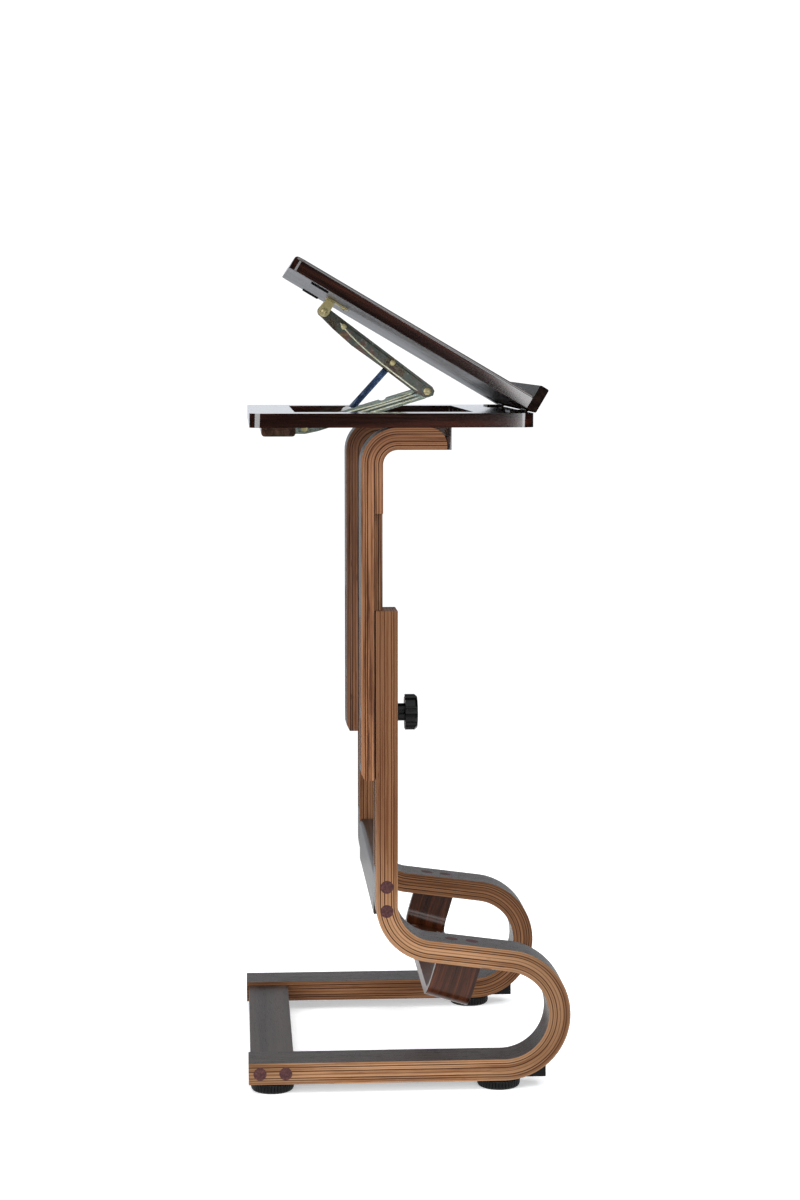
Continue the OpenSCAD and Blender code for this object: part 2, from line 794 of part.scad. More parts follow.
module tilt_panel() {
    r = corner_r;
    x1 = panel_x1 - ledge_t;
    color([0.18, 0.09, 0.07]) opened() difference() {
        leaned() translate([0, 0, closed_z]) linear_extrude(board_t) union() {
            translate([panel_x0 + r, -side_y]) square([x1 - panel_x0 - r, 2 * side_y]);
            translate([panel_x0, -side_y + r]) square([2 * r, 2 * side_y - 2 * r]);
            for (s = [-1, 1]) translate([panel_x0 + r, s * (side_y - r)]) circle(r);
        }
        leaned() panel_bracket_sites() translate([0, 0, -1]) cylinder(r = 1.5, h = 10);
        hinge_pockets();
    }
}

module ledge() {
    r = 2;
    x0 = panel_x1 - ledge_t;
    z1 = closed_z + ledge_h;
    color([0.14, 0.07, 0.05]) opened() difference() {
        leaned() upright(2 * side_y) {
            translate([x0, closed_z + r]) square([ledge_t, ledge_h - 2 * r]);
            translate([x0, closed_z]) square([ledge_t - r, r + 1]);
            translate([x0 + r, z1 - r - 1]) square([ledge_t - 2 * r, r + 1]);
            for (p = [[x0 + r, z1 - r], [panel_x1 - r, z1 - r], [panel_x1 - r, closed_z + r]])
                translate(p) circle(r);
        }
        hinge_pockets();
    }
}

// Thin rubber pads under the panel's back rim
module bumpers() {
    t = 2.2;
    color([0.06, 0.06, 0.06]) opened() leaned() for (s = [-1, 1])
        translate([-148, s * (side_y - 34) - 5, closed_z - t]) cube([22, 10, t]);
}

near_leg();
far_leg();
rear_stretcher();
post_rail();
lower_brace();
leg_screws();
screw_plugs();
brace_screws();
near_nose_block();
far_nose_block();
foot_inserts();
near_rear_foot();
near_front_foot();
far_rear_foot();
far_front_foot();
near_rear_stud();
near_front_stud();
far_rear_stud();
far_front_stud();
near_clamp_bolt();
far_clamp_bolt();
guide_washers();
knob_washers();
near_knob();
far_knob();
near_knob_insert();
far_knob_insert();
near_mast();
far_mast();
front_batten();
batten_screws();
tray();
tray_screws();
rear_batten();
rear_batten_screws();
panel_latch_stud();
near_tray_leaf();
far_tray_leaf();
near_hinge_pin();
far_hinge_pin();
near_panel_leaf();
far_panel_leaf();
lower_bracket();
lower_bracket_screws();
lower_pivot_pin();
lower_arm();
elbow_pin();
upper_arm();
strut_pin();
strut();
strut_rollers();
panel_bracket();
upper_pivot_pin();
panel_bracket_screws();
tilt_panel();
ledge();
bumpers();
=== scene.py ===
"""Looks of the bentwood stand: materials, softened edges, moulded and stamped details, studio and camera."""

import math

import bmesh
import bpy
from mathutils import Matrix, Vector


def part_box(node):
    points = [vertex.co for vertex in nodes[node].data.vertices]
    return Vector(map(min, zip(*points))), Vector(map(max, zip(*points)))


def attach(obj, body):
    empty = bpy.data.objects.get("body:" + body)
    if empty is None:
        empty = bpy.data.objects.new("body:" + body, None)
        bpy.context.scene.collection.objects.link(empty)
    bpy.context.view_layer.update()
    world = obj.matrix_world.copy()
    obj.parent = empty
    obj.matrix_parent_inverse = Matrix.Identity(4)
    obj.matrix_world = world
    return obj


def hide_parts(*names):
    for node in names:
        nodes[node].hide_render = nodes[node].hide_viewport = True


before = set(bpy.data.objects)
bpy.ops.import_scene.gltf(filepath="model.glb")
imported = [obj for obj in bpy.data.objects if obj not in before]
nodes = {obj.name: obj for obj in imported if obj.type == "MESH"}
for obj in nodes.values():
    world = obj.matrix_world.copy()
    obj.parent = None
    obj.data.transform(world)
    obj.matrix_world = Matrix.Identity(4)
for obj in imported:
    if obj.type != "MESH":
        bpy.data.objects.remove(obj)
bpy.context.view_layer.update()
MM = 0.001


# ---------- shader arithmetic ----------

class Field:
    """A socket in a material's tree. Arithmetic on it adds the Math nodes that it needs."""

    def __init__(self, tree, socket):
        self.tree, self.socket = tree, socket

    def math(self, kind, *others):
        node = self.tree.nodes.new("ShaderNodeMath")
        node.operation = kind
        for place, value in zip(node.inputs, (self, *others)):
            plug(self.tree, value, place)
        return Field(self.tree, node.outputs[0])

    def __add__(self, other):
        return self.math("ADD", other)

    def __sub__(self, other):
        return self.math("SUBTRACT", other)

    def __mul__(self, other):
        return self.math("MULTIPLY", other)

    def __neg__(self):
        return self.math("MULTIPLY", -1.0)

    def __abs__(self):
        return self.math("ABSOLUTE")

    def over(self, other):
        return self.math("GREATER_THAN", other)

    def root(self):
        return self.math("SQRT")

    def angle(self, other):
        """Angle in radians of the direction that leads other across and this up."""
        return self.math("ARCTAN2", other)

    def span(self, low, high, to_low=0.0, to_high=1.0):
        """Maps low..high to to_low..to_high, clamped."""
        node = self.tree.nodes.new("ShaderNodeMapRange")
        plug(self.tree, self, node.inputs[0])
        for place, value in zip(node.inputs[1:5], (low, high, to_low, to_high)):
            place.default_value = value
        return Field(self.tree, node.outputs[0])

    def pick(self, chosen, otherwise):
        """chosen where this mask is 1, otherwise where it is 0."""
        node = self.tree.nodes.new("ShaderNodeMix")
        for place, value in zip(node.inputs[0:1] + node.inputs[2:4], (self, otherwise, chosen)):
            plug(self.tree, value, place)
        return Field(self.tree, node.outputs[0])


def plug(tree, value, place):
    if isinstance(value, Field):
        tree.links.new(value.socket, place)
    else:
        place.default_value = value


def linear(rgb):
    """A colour given as 0..255 screen values, as scene-linear RGBA."""
    shares = [c / 255 for c in rgb]
    return [c / 12.92 if c <= 0.04045 else ((c + 0.055) / 1.055) ** 2.4 for c in shares] + [1.0]


def scaled(rgb, share):
    """A screen colour made darker or lighter by a share."""
    return [min(255, c * share) for c in rgb]


class Paint:
    """A material under construction, with the object's own coordinates in metres as x, y and z."""

    def __init__(self, name):
        self.material = bpy.data.materials.new(name)
        self.material.use_nodes = True
        self.tree = self.material.node_tree
        self.shader = self.tree.nodes["Principled BSDF"]
        place = self.tree.nodes.new("ShaderNodeTexCoord").outputs["Object"]
        split = self.tree.nodes.new("ShaderNodeSeparateXYZ")
        self.tree.links.new(place, split.inputs[0])
        self.x, self.y, self.z = (Field(self.tree, s) for s in split.outputs)

    def vector(self, x, y, z):
        node = self.tree.nodes.new("ShaderNodeCombineXYZ")
        for place, value in zip(node.inputs, (x, y, z)):
            plug(self.tree, value, place)
        return Field(self.tree, node.outputs[0])

    def noise(self, x, y, z, detail=3.0, roughness=0.5, distortion=0.0):
        node = self.tree.nodes.new("ShaderNodeTexNoise")
        plug(self.tree, self.vector(x, y, z), node.inputs["Vector"])
        node.inputs["Scale"].default_value = 1.0
        node.inputs["Detail"].default_value = detail
        node.inputs["Roughness"].default_value = roughness
        node.inputs["Distortion"].default_value = distortion
        return Field(self.tree, node.outputs[0])

    def ramp(self, value, stops):
        """A colour from (place, screen colour) stops."""
        node = self.tree.nodes.new("ShaderNodeValToRGB")
        marks = node.color_ramp.elements
        while len(marks) < len(stops):
            marks.new(0.5)
        for mark, (place, rgb) in zip(marks, stops):
            mark.position = place
            mark.color = linear(rgb)
        plug(self.tree, value, node.inputs[0])
        return Field(self.tree, node.outputs[0])

    def blend(self, factor, low, high):
        """Colour low where factor is 0 and high where it is 1."""
        node = self.tree.nodes.new("ShaderNodeMix")
        node.data_type = "RGBA"
        for place, value in zip(node.inputs[0:1] + node.inputs[6:8], (factor, low, high)):
            plug(self.tree, value, place)
        return Field(self.tree, node.outputs[2])

    def finish(self, colour, roughness, bump=None, depth=0.1 * MM, **others):
        """Fills in the shader. others are inputs of the shader, with _ for each space in their names."""
        plug(self.tree, colour, self.shader.inputs["Base Color"])
        plug(self.tree, roughness, self.shader.inputs["Roughness"])
        if bump is not None:
            node = self.tree.nodes.new("ShaderNodeBump")
            node.inputs["Distance"].default_value = depth
            node.inputs["Strength"].default_value = 1.0
            plug(self.tree, bump, node.inputs["Height"])
            self.tree.links.new(node.outputs[0], self.shader.inputs["Normal"])
        for name, value in others.items():
            plug(self.tree, value, self.shader.inputs[name.replace("_", " ")])
        return self.material


# ---------- bent laminations ----------

PLY = 25 * MM                                   # thickness of the laminated wood
# Glue lines: (millimetres from the middle of the thickness, how dark)
GLUE = [(-10.2, 0.35), (-7.6, 1.0), (-5.2, 0.35), (-2.8, 1.0),
        (1.1, 0.55), (5.2, 0.95), (7.9, 0.9), (10.4, 0.4)]
GLUE_CORE, GLUE_REACH = 0.35 * MM, 0.90 * MM    # half widths where a glue line starts to fade and ends
FACE_START, FACE_FULL = 0.30 * MM, 0.12 * MM    # depths below the face between which the veneer takes over


def leg_path(p):
    """Length along a leg and offset across its thickness, from the bar round the nose and up the post."""
    # The arcs' centres as (x, z), and their radii at the middle of the thickness
    nose, nose_r = (108.5 * MM, 88.5 * MM), 64 * MM
    bend, bend_r = (29.5 * MM, 220.1 * MM), 56 * MM
    bar_z, post_x, bar_x0 = 24.5 * MM, -26.5 * MM, -185 * MM
    slope, arm = math.radians(7.6), 95.7 * MM
    c, s = math.cos(slope), math.sin(slope)
    nx, nz = p.x - nose[0], p.z - nose[1]
    bx, bz = p.x - bend[0], p.z - bend[1]
    forward, lift = nx * c - nz * s, nx * s + nz * c
    ahead, down = bx * c - bz * s, -(bx * s + bz * c)
    nose_turn = math.pi - slope
    at_nose = nose[0] - bar_x0
    at_arm = at_nose + nose_r * nose_turn
    at_bend = at_arm + arm
    at_post = at_bend + bend_r * (math.pi / 2 - slope)
    in_nose = nz.over(0.0).pick(forward.over(0.0), nx.over(0.0))
    low = nz.over(0.0).pick(0.0, 1.0)
    offset = ahead.over(0.0).pick(lift - nose_r, -((bx * bx + bz * bz).root()) + bend_r)
    offset = bz.over(0.0).pick(p.x - post_x, offset)
    offset = low.pick(-p.z + bar_z, offset)
    offset = in_nose.pick((nx * nx + nz * nz).root() - nose_r, offset)
    along = ahead.over(0.0).pick(-forward + at_arm, (-ahead).angle(down) * bend_r + at_bend)
    along = bz.over(0.0).pick(bz + at_post, along)
    along = low.pick(p.x - bar_x0, along)
    along = in_nose.pick(nx.angle(-nz) * nose_r + at_nose, along)
    return along, offset


def mast_path(p):
    """Length along a mast and offset across its thickness, up the mast and out along its arm."""
    # The arc's centre as (x, z), and its radius at the middle of the thickness
    bend, bend_r = (-14 * MM, 721 * MM), 29 * MM
    foot_z = 363 * MM
    bx, bz = p.x - bend[0], p.z - bend[1]
    straight = bz.over(0.0).pick(0.0, 1.0)
    at_bend = bend[1] - foot_z
    offset = bx.over(0.0).pick(bz - bend_r, (bx * bx + bz * bz).root() - bend_r)
    offset = straight.pick(-bx - bend_r, offset)
    along = bx.over(0.0).pick(bx + at_bend + bend_r * math.pi / 2, bz.angle(-bx) * bend_r + at_bend)
    along = straight.pick(p.z - foot_z, along)
    return along, offset


def bent_ply(name, path, light, dark, line, face, shade, nose=0.0, tail=0.0, seed=0.0):
    """Edges show the glue lines and faces show veneer. shade is (low, high, share): the colour darkens by
    share between these two heights, as painted shade where a mast's arm runs under the tray. nose and tail
    are the shares by which it darkens round the leg's nose and at the bar's back end."""
    p = Paint(name)
    along, offset = path(p)
    y = p.y + seed
    sway = (p.noise(along * 13, y * 14, offset * 40 + seed, 2.0) - 0.5) * (1.1 * MM)
    across = offset + sway
    glue = None
    for place, weight in GLUE:
        one = abs(across - place * MM).span(GLUE_CORE, GLUE_REACH, weight, 0.0)
        glue = one if glue is None else glue.math("MAXIMUM", one)
    fade = p.noise(along * 22, y * 60, offset * 300, 2.0).span(0.30, 0.55, 0.8, 1.0)
    tone = p.noise(along * 6, y * 30, across * 230, 2.0)
    streak = p.noise(along * 60, y * 1500, offset * 1500, 3.0, 0.6)
    pale = [min(255, c + 12) for c in light]
    wood = p.ramp(tone * 0.75 + streak * 0.25, [(0.36, dark), (0.5, light), (0.62, pale)])
    edge = p.blend(glue * fade, wood, linear(line))
    flaw = p.noise(along * 34, y * 50, across * 420 + seed, 1.0).span(0.735, 0.775)
    edge = p.blend(flaw * 0.75, edge, linear([60, 32, 22]))
    # deep and the blend below darken the colour between the shade heights; on the masts this is painted shade
    # on the arm under the tray
    deep = linear([dark[0] * 0.72, dark[1] * 0.56, dark[2] * 0.36])
    edge = p.blend(p.z.span(shade[0], shade[1], 0.0, shade[2]), edge, deep)
    dim = linear([dark[0] * 0.60, dark[1] * 0.58, dark[2] * 0.50])
    edge = p.blend(p.x.span(0.07, 0.15, 0.0, nose), edge, dim)
    edge = p.blend(p.x.span(-0.17, -0.10, tail, 0.0), edge, dim)
    grain = p.noise(along * 14, y * 520, offset * 300, 4.0, 0.65, 0.4)
    figure = p.noise(along * 5, y * 70, seed, 3.0, 0.5, 1.2)
    pores = p.noise(along * 90, y * 2600, seed, 2.0).span(0.56, 0.68)
    bands = [(0.36, scaled(face, 0.62)), (0.5, face), (0.64, scaled(face, 1.3))]
    veneer = p.ramp(grain * 0.6 + figure * 0.4, bands)
    veneer = p.blend(pores * 0.45, veneer, linear(scaled(face, 0.42)))
    on_face = abs(offset).span(PLY / 2 - FACE_START, PLY / 2 - FACE_FULL)
    colour = p.blend(on_face, edge, veneer)
    rough = on_face.pick(grain.span(0.3, 0.7, 0.30, 0.46), streak.span(0.3, 0.7, 0.42, 0.62))
    relief = on_face.pick(pores * -0.8 + grain * 0.5, glue * -0.5 + streak * 0.3)
    sheen = on_face.pick(grain.span(0.40, 0.56, 0.18, 0.62) - pores * 0.3, 0.10)
    return p.finish(colour, rough, relief, 0.18 * MM, Specular_IOR_Level=sheen)


# ---------- flat boards ----------

def board(name, grain_axis, tones, seed=0.0, stretch=1.0, rough=(0.22, 0.36), coat=0.5, coat_rough=0.08,
          tilt=0.0, satin_below=None, relief=0.012, gloss=0.2):
    """Wood with pores. grain_axis is 'x', 'y' or 'z'; tilt turns the grain with a leaning board, and
    satin_below is the height, square to the board, under which the lacquer is satin. relief is the depth of
    the pores in millimetres, and gloss the strength of the bare wood's sheen."""
    p = Paint(name)
    c, s = math.cos(tilt), math.sin(tilt)
    turned = {"x": p.x * c - p.z * s, "y": p.y, "z": p.x * s + p.z * c}
    level = turned["z"]
    along = turned.pop(grain_axis)
    one, two = turned.values()
    warp = (p.noise(along * 3.2, one * 9, two * 9 + seed, 2.0) - 0.5) * 0.012
    one, two = one + warp, two + warp
    rings = p.noise(along * 4 * stretch, one * 130 * stretch, two * 130 + seed, 3.0, 0.6, 0.5)
    fine = p.noise(along * 26, one * 900, two * 900 + seed, 3.0, 0.6)
    pores = p.noise(along * 60, one * 1900 + seed, two * 1900, 2.0).span(0.55, 0.68)
    wood = p.ramp(rings * 0.65 + fine * 0.35, [(0.36, tones[0]), (0.5, tones[1]), (0.64, tones[2])])
    colour = p.blend(pores * 0.5, wood, linear(scaled(tones[0], 0.45)))
    roughness = (rings * 0.5 + fine * 0.5).span(0.35, 0.65, *rough)
    sheen = (rings * 0.7 + fine * 0.3).span(0.42, 0.56, 0.5 * gloss, gloss) - pores * (0.3 * gloss)
    if satin_below is not None:
        glossy = level.span(satin_below, satin_below + 0.1 * MM)
        roughness = glossy.pick(roughness, rings.span(0.35, 0.65, 0.30, 0.42))
        sheen = glossy.pick(sheen, fine.span(0.40, 0.60, 0.55, 1.0) - pores * 0.2)
        coat = glossy * coat
    return p.finish(colour, roughness, fine * 0.6 - pores * 0.6, relief * MM, Coat_Weight=coat,
                    Coat_Roughness=coat_rough, Coat_IOR=1.7, Specular_IOR_Level=sheen)


def strap_veneer(name, tones, tilt, seed=0.0):
    """Veneer whose grain runs along a bent strap: its lines depend on the place across the strap's width."""
    p = Paint(name)
    c, s = math.cos(tilt), math.sin(tilt)
    across, up = p.x * c - p.z * s, p.x * s + p.z * c
    warp = (p.noise(across * 20, p.y * 16, up * 16 + seed, 2.0) - 0.5) * (4 * MM)
    across = across + warp
    bands = p.noise(across * 190 + seed, p.y * 5, up * 5, 3.0, 0.6)
    fine = p.noise(across * 1500, p.y * 26 + seed, up * 26, 3.0, 0.6)
    pores = p.noise(across * 2400 + seed, p.y * 70, up * 70, 2.0).span(0.56, 0.68)
    wood = p.ramp(bands * 0.6 + fine * 0.4, [(0.36, tones[0]), (0.5, tones[1]), (0.64, tones[2])])
    colour = p.blend(pores * 0.55, wood, linear(scaled(tones[0], 0.45)))
    rough = bands.span(0.3, 0.7, 0.26, 0.38)
    return p.finish(colour, rough, fine * 0.6 - pores * 0.6, 0.06 * MM, Coat_Weight=0.25, Coat_Roughness=0.22,
                    Specular_IOR_Level=0.1)


def end_grain(name):
    """Face of the wooden plugs: short grain in small arcs."""
    p = Paint(name)
    rings = p.noise(p.x * 300, p.y * 300, p.z * 300, 3.0, 0.6, 0.8)
    fine = p.noise(p.x * 1600, p.y * 1600, p.z * 1600, 2.0)
    tones = [(0.34, [36, 16, 18]), (0.5, [62, 32, 32]), (0.66, [86, 52, 50])]
    colour = p.ramp(rings * 0.6 + fine * 0.4, tones)
    return p.finish(colour, fine.span(0.3, 0.7, 0.50, 0.62), rings, 0.08 * MM, Specular_IOR_Level=0.2)


# ---------- plastics, rubber and metals ----------

def moulded(name, colour, rough, grit=900.0, depth=0.03):
    """Plastic or rubber with a fine grain, depth millimetres deep."""
    p = Paint(name)
    grain = p.noise(p.x * grit, p.y * grit, p.z * grit, 3.0)
    cloud = p.noise(p.x * 45, p.y * 45, p.z * 45, 3.0)
    shade = p.ramp(cloud * 0.5 + grain * 0.5, [(0.3, scaled(colour, 0.75)), (0.7, scaled(colour, 1.25))])
    return p.finish(shade, cloud.span(0.35, 0.65, *rough), grain, depth * MM, Specular_IOR_Level=0.14)


def plated(name, tones, rough, clouds=60.0, blotch=0.2, metal=0.8):
    """Passivated zinc: clouds of interference colour with specks and small scuffs. clouds is how many there
    are to the metre, and blotch how much the specks count in the colour."""
    p = Paint(name)
    cloud = p.noise(p.x * clouds, p.y * clouds, p.z * clouds, 4.0, 0.6, 0.6)
    speck = p.noise(p.x * 700, p.y * 700, p.z * 700, 3.0, 0.7)
    places = [0.30 + 0.40 * i / (len(tones) - 1) for i in range(len(tones))]
    colour = p.ramp(cloud * (1 - blotch * 0.5) + speck * (blotch * 0.5), list(zip(places, tones)))
    scuff = p.noise(p.x * 240, p.y * 2400, p.z * 240, 2.0).span(0.60, 0.70)
    colour = p.blend(scuff * 0.12, colour, linear([205, 202, 190]))
    return p.finish(colour, (cloud + speck).span(0.7, 1.3, *rough), speck + cloud, 0.004 * MM, Metallic=metal)


# ---------- making meshes ----------

def new_piece(name, mesh, material, body, slot, *replaced):
    """A piece that moves with a body, and stands in for the CAD nodes in replaced, if any."""
    piece = bpy.data.objects.new(name, mesh)
    bpy.context.scene.collection.objects.link(piece)
    mesh.materials.append(material)
    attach(piece, body)
    if replaced:
        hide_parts(*replaced)
    return piece


CREASE = math.radians(38)                       # faces that meet at more than this keep a sharp edge


def mesh_from(name, work):
    bmesh.ops.recalc_face_normals(work, faces=work.faces)
    mesh = bpy.data.meshes.new(name)
    work.to_mesh(mesh)
    work.free()
    for face in mesh.polygons:
        face.use_smooth = True
    mesh.set_sharp_from_angle(angle=CREASE)
    return mesh


def lathe(work, profile, place, steps=48, ribs=None):
    """Turns (radius, height) points about local Z. ribs(angle, radius, height) returns the radius to use."""
    rings = []
    for radius, height in profile:
        if radius == 0:
            rings.append([work.verts.new(place @ Vector((0, 0, height)))])
            continue
        ring = []
        for k in range(steps):
            a = 2 * math.pi * k / steps
            r = ribs(a, radius, height) if ribs else radius
            ring.append(work.verts.new(place @ Vector((r * math.cos(a), r * math.sin(a), height))))
        rings.append(ring)
    for low, high in zip(rings, rings[1:]):
        for k in range(steps):
            after = k + 1
            corners = [low[k % len(low)], low[after % len(low)], high[after % len(high)], high[k % len(high)]]
            unique = list(dict.fromkeys(corners))
            if len(unique) > 2:
                work.faces.new(unique)


BEAD_SINK = 0.05 * MM                           # how far a bead's edges reach into the wall it lies on


def bead(work, points, width, height, place):
    """A half-round bead along points (u, v) of a wall whose outward normal is the local Z of place."""
    sections = 7
    rows = []
    for i, (u, v) in enumerate(points):
        before, after = points[max(i - 1, 0)], points[min(i + 1, len(points) - 1)]
        tangent = Vector((after[0] - before[0], after[1] - before[1])).normalized()
        across = Vector((-tangent.y, tangent.x))
        ease = min(1.0, 0.25 + min(i, len(points) - 1 - i) * 0.4)
        row = []
        for k in range(sections):
            a = math.pi * k / (sections - 1)
            shift = across * (math.cos(a) * width / 2 * ease)
            lift = math.sin(a) * height * ease - BEAD_SINK
            row.append(work.verts.new(place @ Vector((u + shift.x, v + shift.y, lift))))
        rows.append(row)
    for a, b in zip(rows, rows[1:]):
        for k in range(sections - 1):
            work.faces.new([a[k], a[k + 1], b[k + 1], b[k]])
        work.faces.new([a[-1], a[0], b[0], b[-1]])
    work.faces.new(rows[0])
    work.faces.new(rows[-1][::-1])


SHARP_FOLD = math.radians(32)                   # edges folded by more than this are rounded
SAME_PLACE = 0.001 * MM                         # corners closer than this are one corner


def soften(name, width, segments):
    """Rounds the edges of a CAD node with modifiers, which leave its own mesh as it is."""
    node = nodes[name]
    for face in node.data.polygons:
        face.use_smooth = True
    weld = node.modifiers.new("weld", "WELD")
    weld.merge_threshold = SAME_PLACE
    round_over = node.modifiers.new("round", "BEVEL")
    round_over.width = width
    round_over.segments = segments
    round_over.limit_method = "ANGLE"
    round_over.angle_limit = SHARP_FOLD
    shade = node.modifiers.new("shade", "WEIGHTED_NORMAL")
    shade.keep_sharp = True


def dress(names, material, width, segments=2):
    """Gives CAD nodes a material, and rounds their edges by width."""
    for name in names:
        data = nodes[name].data
        data.materials.clear()
        data.materials.append(material)
        soften(name, width, segments)


def round_rim(name, tilt, broken=0.1, fold=0.9):
    """Limits a dressed board's rounding to the rim of its leaning upper face. Its other edges get the share
    broken of it. Two faces fold at their edge where the dot product of their normals is under fold."""
    node = nodes[name]
    data = node.data
    corner = [tuple(round(c / SAME_PLACE) for c in v.co) for v in data.vertices]
    level = [v.co.x * math.sin(tilt) + v.co.z * math.cos(tilt) for v in data.vertices]
    top = max(level) - 0.05 * MM
    facing = {}
    for face in data.polygons:
        for a, b in face.edge_keys:
            facing.setdefault(frozenset((corner[a], corner[b])), []).append(face.normal.copy())
    weight = data.attributes.new("bevel_weight_edge", "FLOAT", "EDGE")
    for edge in data.edges:
        a, b = edge.vertices
        normals = facing.get(frozenset((corner[a], corner[b])), [])
        if any(n.dot(normals[0]) < fold for n in normals):
            weight.data[edge.index].value = 1.0 if level[a] > top and level[b] > top else broken
    flat = node.modifiers.new("flat", "DECIMATE")
    flat.decimate_type = "DISSOLVE"
    flat.angle_limit = math.radians(0.5)
    node.modifiers.move(len(node.modifiers) - 1, 1)
    rim = node.modifiers["round"]
    rim.limit_method = "WEIGHT"
    rim.use_clamp_overlap = False


# ---------- dressing the CAD nodes ----------

WENGE = ([14, 3, 1], [27, 9, 4], [52, 21, 10])
STAINED = ([30, 22, 18], [52, 41, 35], [76, 62, 54])
EBONY = ([6, 2, 1], [15, 6, 3], [34, 18, 11])
WALNUT = ([40, 24, 17], [66, 44, 32], [92, 64, 48])
BROWN = ([30, 11, 4], [54, 25, 11], [84, 43, 22])
TILT = math.radians(30.45)                      # the panel's slope at rest
BRACE_TILT = math.radians(16.5)

leg_tones = {
    "near": dict(light=[144, 106, 75], dark=[110, 73, 47], line=[40, 19, 9], face=[44, 33, 27],
                 shade=(0.20, 0.32, 0.58), nose=0.42, tail=0.4),
    "far": dict(light=[116, 78, 50], dark=[86, 54, 33], line=[36, 17, 9], face=[50, 39, 33],
                shade=(0.1, 0.3, 0.1), nose=0.2, tail=0.3)}
# The masts' shade darkens the bend and arm under the tray: painted shade
mast_tones = {
    "near": dict(light=[140, 96, 66], dark=[80, 46, 28], line=[24, 10, 5], face=[58, 46, 41],
                 shade=(0.71, 0.745, 0.4)),
    "far": dict(light=[112, 75, 52], dark=[72, 43, 28], line=[28, 13, 8], face=[54, 44, 40],
                shade=(0.71, 0.745, 0.3))}
for side, seed in (("near", 0.0), ("far", 3.7)):
    dress([side + "_leg"], bent_ply(side + "_leg_ply", leg_path, seed=seed, **leg_tones[side]), 0.9 * MM)
    dress([side + "_mast"], bent_ply(side + "_mast_ply", mast_path, seed=seed + 9.1, **mast_tones[side]),
          0.9 * MM)

dress(["rear_stretcher"], board("stretcher_wood", "y", STAINED, 1.0, 0.35, (0.34, 0.48), 0.0, 0.3,
                                relief=0.3, gloss=0.6), 1.2 * MM)
dress(["post_rail"], board("rail_wood", "y", STAINED, 2.0, 0.6, (0.35, 0.5), 0.2, 0.25), 0.8 * MM)
dress(["lower_brace"], strap_veneer("brace_veneer", BROWN, BRACE_TILT, 3.0), 0.7 * MM)
underside = min(v.co.x * math.sin(TILT) + v.co.z * math.cos(TILT) for v in nodes["tilt_panel"].data.vertices)
dress(["tray"], board("tray_wood", "x", WENGE, 4.0, rough=(0.28, 0.38), coat=0.9, coat_rough=0.06,
                      gloss=0.05), 1.4 * MM, 3)
dress(["tilt_panel"], board("panel_wood", "x", WENGE, 5.0, rough=(0.28, 0.38), coat=0.9, coat_rough=0.08,
                            tilt=TILT, satin_below=underside + 0.4 * MM, gloss=0.05), 3.8 * MM, 5)
round_rim("tilt_panel", TILT)
dress(["ledge"], board("ledge_wood", "y", EBONY, 6.0, rough=(0.30, 0.42), coat=0.0, tilt=TILT, gloss=0.03),
      0.8 * MM, 3)
dress(["front_batten"], board("batten_wood", "y", WENGE, 7.0), 0.6 * MM)
dress(["rear_batten"], board("rear_batten_wood", "y", WALNUT, 8.0), 0.6 * MM)
dress(["screw_plugs"], end_grain("plug_wood"), 0.25 * MM, 1)

black = moulded("black_plastic", [6, 6, 7], (0.22, 0.32))
rubber = moulded("black_rubber", [5, 5, 5], (0.50, 0.68), 1400.0, 0.06)
steel = plated("zinc_steel", ([150, 150, 152], [186, 186, 186], [205, 204, 200]), (0.22, 0.36))
olive = plated("olive_zinc", ([62, 46, 44], [86, 80, 66], [80, 88, 84], [104, 76, 68], [128, 120, 82]),
               (0.24, 0.40), 40.0)
pale_green = plated("green_zinc", ([98, 106, 96], [128, 138, 122], [118, 130, 128], [164, 166, 126]),
                    (0.22, 0.36), 40.0, 0.15)
# Near-white zinc for the raised ribs: a painted highlight along each rib's crest
rib_highlight = plated("rib_highlight_zinc", ([196, 196, 150], [226, 226, 200], [236, 236, 226]),
                   (0.22, 0.34), 80.0, metal=0.3)
# Dark zinc for thin raised beads along the arms: painted shade standing in for the stamped grooves
painted_groove_shade = plated("groove_shade_zinc", ([44, 48, 42], [62, 68, 60], [80, 84, 72]), (0.30, 0.42), 80.0)
brass = plated("yellow_zinc", ([150, 138, 88], [182, 170, 122], [214, 206, 166]),
               (0.34, 0.44), 24.0, 0.05, 0.4)
bronze = plated("hinge_bronze", ([14, 11, 8], [28, 22, 16], [46, 38, 28]), (0.34, 0.50))
blue = plated("blue_zinc", ([24, 36, 58], [48, 68, 98], [104, 118, 138]), (0.20, 0.36), blotch=0.1)
nylon = moulded("white_nylon", [232, 232, 228], (0.25, 0.35))

dress(["near_knob", "far_knob"], black, 1.3 * MM, 3)
dress(["near_nose_block", "far_nose_block", "bumpers"], rubber, 0.7 * MM)
dress(["leg_screws", "brace_screws", "near_rear_stud", "near_front_stud", "far_rear_stud", "far_front_stud",
       "near_clamp_bolt", "far_clamp_bolt", "guide_washers", "knob_washers", "batten_screws", "tray_screws",
       "rear_batten_screws"], steel, 0.25 * MM)
dress(["upper_arm", "elbow_pin"], olive, 0.35 * MM)
dress(["lower_arm", "lower_bracket"], pale_green, 0.35 * MM)
dress(["foot_inserts", "near_knob_insert", "far_knob_insert", "lower_bracket_screws", "lower_pivot_pin",
       "strut_pin", "panel_bracket", "upper_pivot_pin", "panel_bracket_screws"], brass, 0.25 * MM)
dress(["near_tray_leaf", "far_tray_leaf", "near_hinge_pin", "far_hinge_pin", "near_panel_leaf",
       "far_panel_leaf"], bronze, 0.25 * MM)
dress(["strut"], blue, 0.4 * MM)
dress(["strut_rollers"], nylon, 0.5 * MM)


# ---------- levelling feet with ribbed rims ----------

